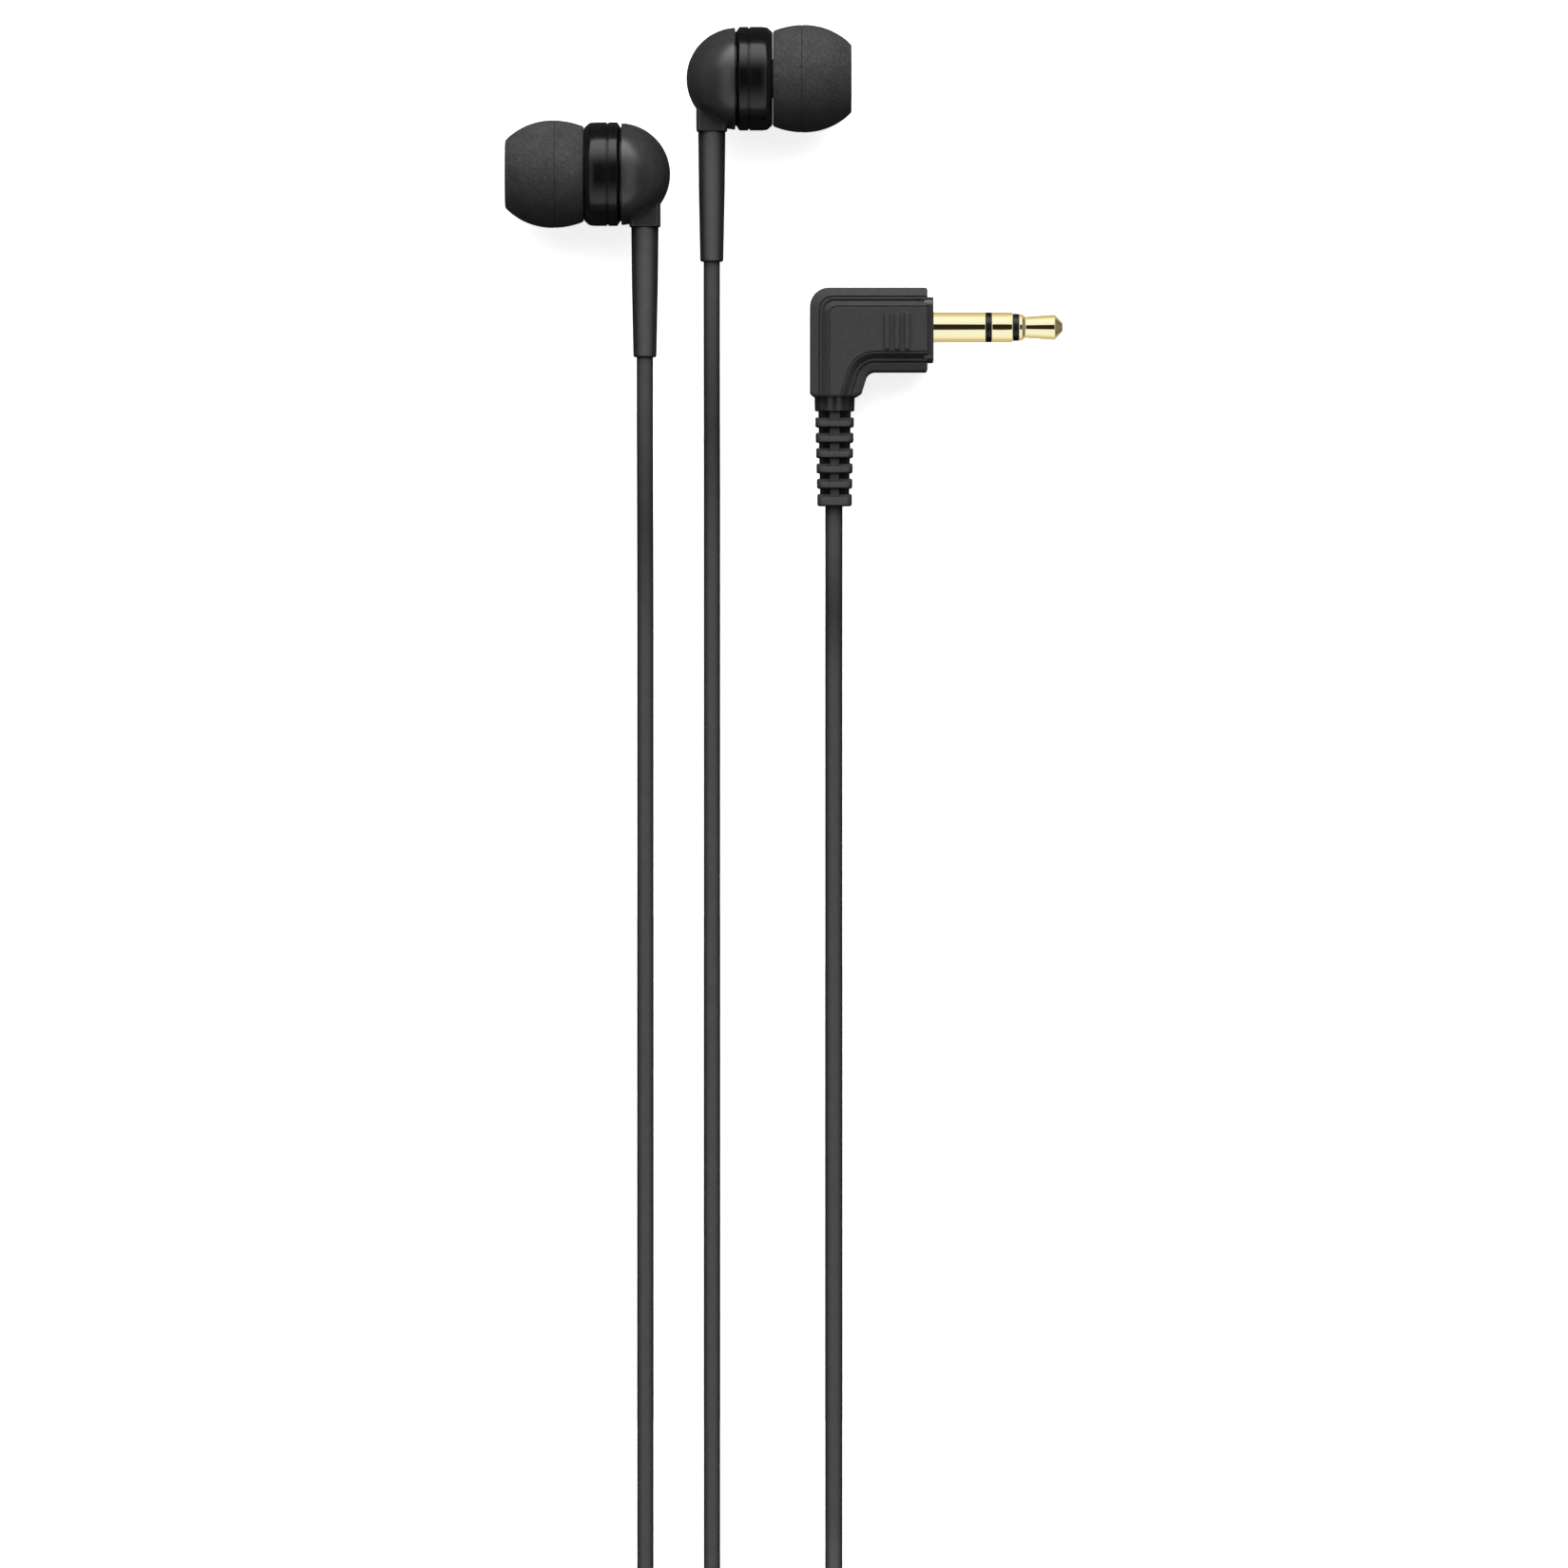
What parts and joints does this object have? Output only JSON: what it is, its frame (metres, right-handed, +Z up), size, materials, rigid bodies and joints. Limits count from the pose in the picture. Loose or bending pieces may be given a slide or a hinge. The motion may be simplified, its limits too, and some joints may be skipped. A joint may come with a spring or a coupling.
{
  "type": "wired in-ear earphones",
  "caption": "In-ear earphones with silicone tips, thin leads joining at a splitter, and a coiled cable to an angled jack plug with a ribbed boot.",
  "frame": {"origin": "middle of the underside of the whole object, on the table it lies on", "axes": "+X along the plug's shaft, +Y up the leads towards the earpieces, +Z up from the table"},
  "size_m": [0.0646, 0.279, 0.0124],
  "materials": {
    "silicone": "matte",
    "gloss_black": "gloss",
    "satin_black": "satin",
    "sleeve_rubber": "satin",
    "cable_jacket": "satin",
    "plug_black": "satin",
    "insulator": "gloss",
    "gold": "polished",
    "copper": "satin",
    "steel": "brushed",
    "film": "matte",
    "board": "satin"
  },
  "bodies": {
    "cable_coil": {"left_lead_lower": "cable_jacket", "left_core_lower": "copper", "right_lead_lower": "cable_jacket", "right_core_lower": "copper", "common_cable": "cable_jacket", "common_core": "copper", "splitter_body": "satin_black"},
    "left_lead_middle": {"left_lead_mid": "cable_jacket", "left_core_mid": "copper"},
    "left_lead_top": {"left_lead_upper": "cable_jacket", "left_core_upper": "copper"},
    "left_earpiece": {"left_front_housing": "gloss_black", "left_trim_ring": "gloss_black", "left_rear_housing": "satin_black", "left_nozzle_mesh": "steel", "left_driver_frame": "steel", "left_diaphragm": "film", "left_voice_coil": "copper", "left_magnet": "steel", "left_pole_plate": "steel", "left_yoke_cup": "steel", "left_terminal_board": "board", "left_strain_sleeve": "sleeve_rubber", "left_lead_tail": "cable_jacket", "left_tail_wires": "copper"},
    "left_tip": {"left_ear_tip": "silicone"},
    "right_lead_middle": {"right_lead_mid": "cable_jacket", "right_core_mid": "copper"},
    "right_lead_top": {"right_lead_upper": "cable_jacket", "right_core_upper": "copper"},
    "right_earpiece": {"right_front_housing": "gloss_black", "right_trim_ring": "gloss_black", "right_rear_housing": "satin_black", "right_nozzle_mesh": "steel", "right_driver_frame": "steel", "right_diaphragm": "film", "right_voice_coil": "copper", "right_magnet": "steel", "right_pole_plate": "steel", "right_yoke_cup": "steel", "right_terminal_board": "board", "right_strain_sleeve": "sleeve_rubber", "right_lead_tail": "cable_jacket", "right_tail_wires": "copper"},
    "right_tip": {"right_ear_tip": "silicone"},
    "plug_lead_middle": {"plug_lead_mid": "cable_jacket", "plug_core_mid": "copper"},
    "plug_lead_top": {"plug_lead_upper": "cable_jacket", "plug_core_upper": "copper"},
    "plug": {"plug_housing": "plug_black", "plug_insert": "gloss_black", "sleeve_contact": "gold", "ring_contact": "gold", "tip_contact": "gold", "rear_insulator": "insulator", "front_insulator": "insulator", "plug_boot": "plug_black", "plug_lead_tail": "cable_jacket", "plug_wires": "copper"}
  },
  "joints": [
    {"name": "left_lead_lift", "type": "hinge", "parent": "cable_coil", "child": "left_lead_middle", "pos_m": [-0.0161, -0.01913, 0.00095], "axis": [1, 0, 0], "range_deg": [0, 25]},
    {"name": "left_lead_swing", "type": "hinge", "parent": "left_lead_middle", "child": "left_lead_top", "pos_m": [-0.0161, 0.06537, 0.00095], "axis": [0, 0, 1], "range_deg": [-2, 35]},
    {"name": "left_earpiece_tilt", "type": "hinge", "parent": "left_lead_top", "child": "left_earpiece", "pos_m": [-0.0161, 0.10054, 0.00622], "axis": [0, 0, 1], "range_deg": [-5, 40]},
    {"name": "left_tip_pull", "type": "slide", "parent": "left_earpiece", "child": "left_tip", "axis": [-1, 0, 0], "range_m": [0, 0.008]},
    {"name": "right_lead_lift", "type": "hinge", "parent": "cable_coil", "child": "right_lead_middle", "pos_m": [-0.00836, -0.01913, 0.00095], "axis": [1, 0, 0], "range_deg": [0, 25]},
    {"name": "right_lead_swing", "type": "hinge", "parent": "right_lead_middle", "child": "right_lead_top", "pos_m": [-0.00836, 0.06537, 0.00095], "axis": [0, 0, 1], "range_deg": [-12, 2]},
    {"name": "right_earpiece_tilt", "type": "hinge", "parent": "right_lead_top", "child": "right_earpiece", "pos_m": [-0.00836, 0.11159, 0.00622], "axis": [0, 0, 1], "range_deg": [-30, 8]},
    {"name": "right_tip_pull", "type": "slide", "parent": "right_earpiece", "child": "right_tip", "axis": [1, 0, 0], "range_m": [0, 0.008]},
    {"name": "plug_lead_lift", "type": "hinge", "parent": "cable_coil", "child": "plug_lead_middle", "pos_m": [0.00578, -0.01913, 0.001], "axis": [1, 0, 0], "range_deg": [0, 25]},
    {"name": "plug_lead_swing", "type": "hinge", "parent": "plug_lead_middle", "child": "plug_lead_top", "pos_m": [0.00578, 0.05436, 0.001], "axis": [0, 0, 1], "range_deg": [-35, 4]},
    {"name": "plug_tilt", "type": "hinge", "parent": "plug_lead_top", "child": "plug", "pos_m": [0.00578, 0.08342, 0.004], "axis": [0, 0, 1], "range_deg": [-25, 15]}
  ]
}
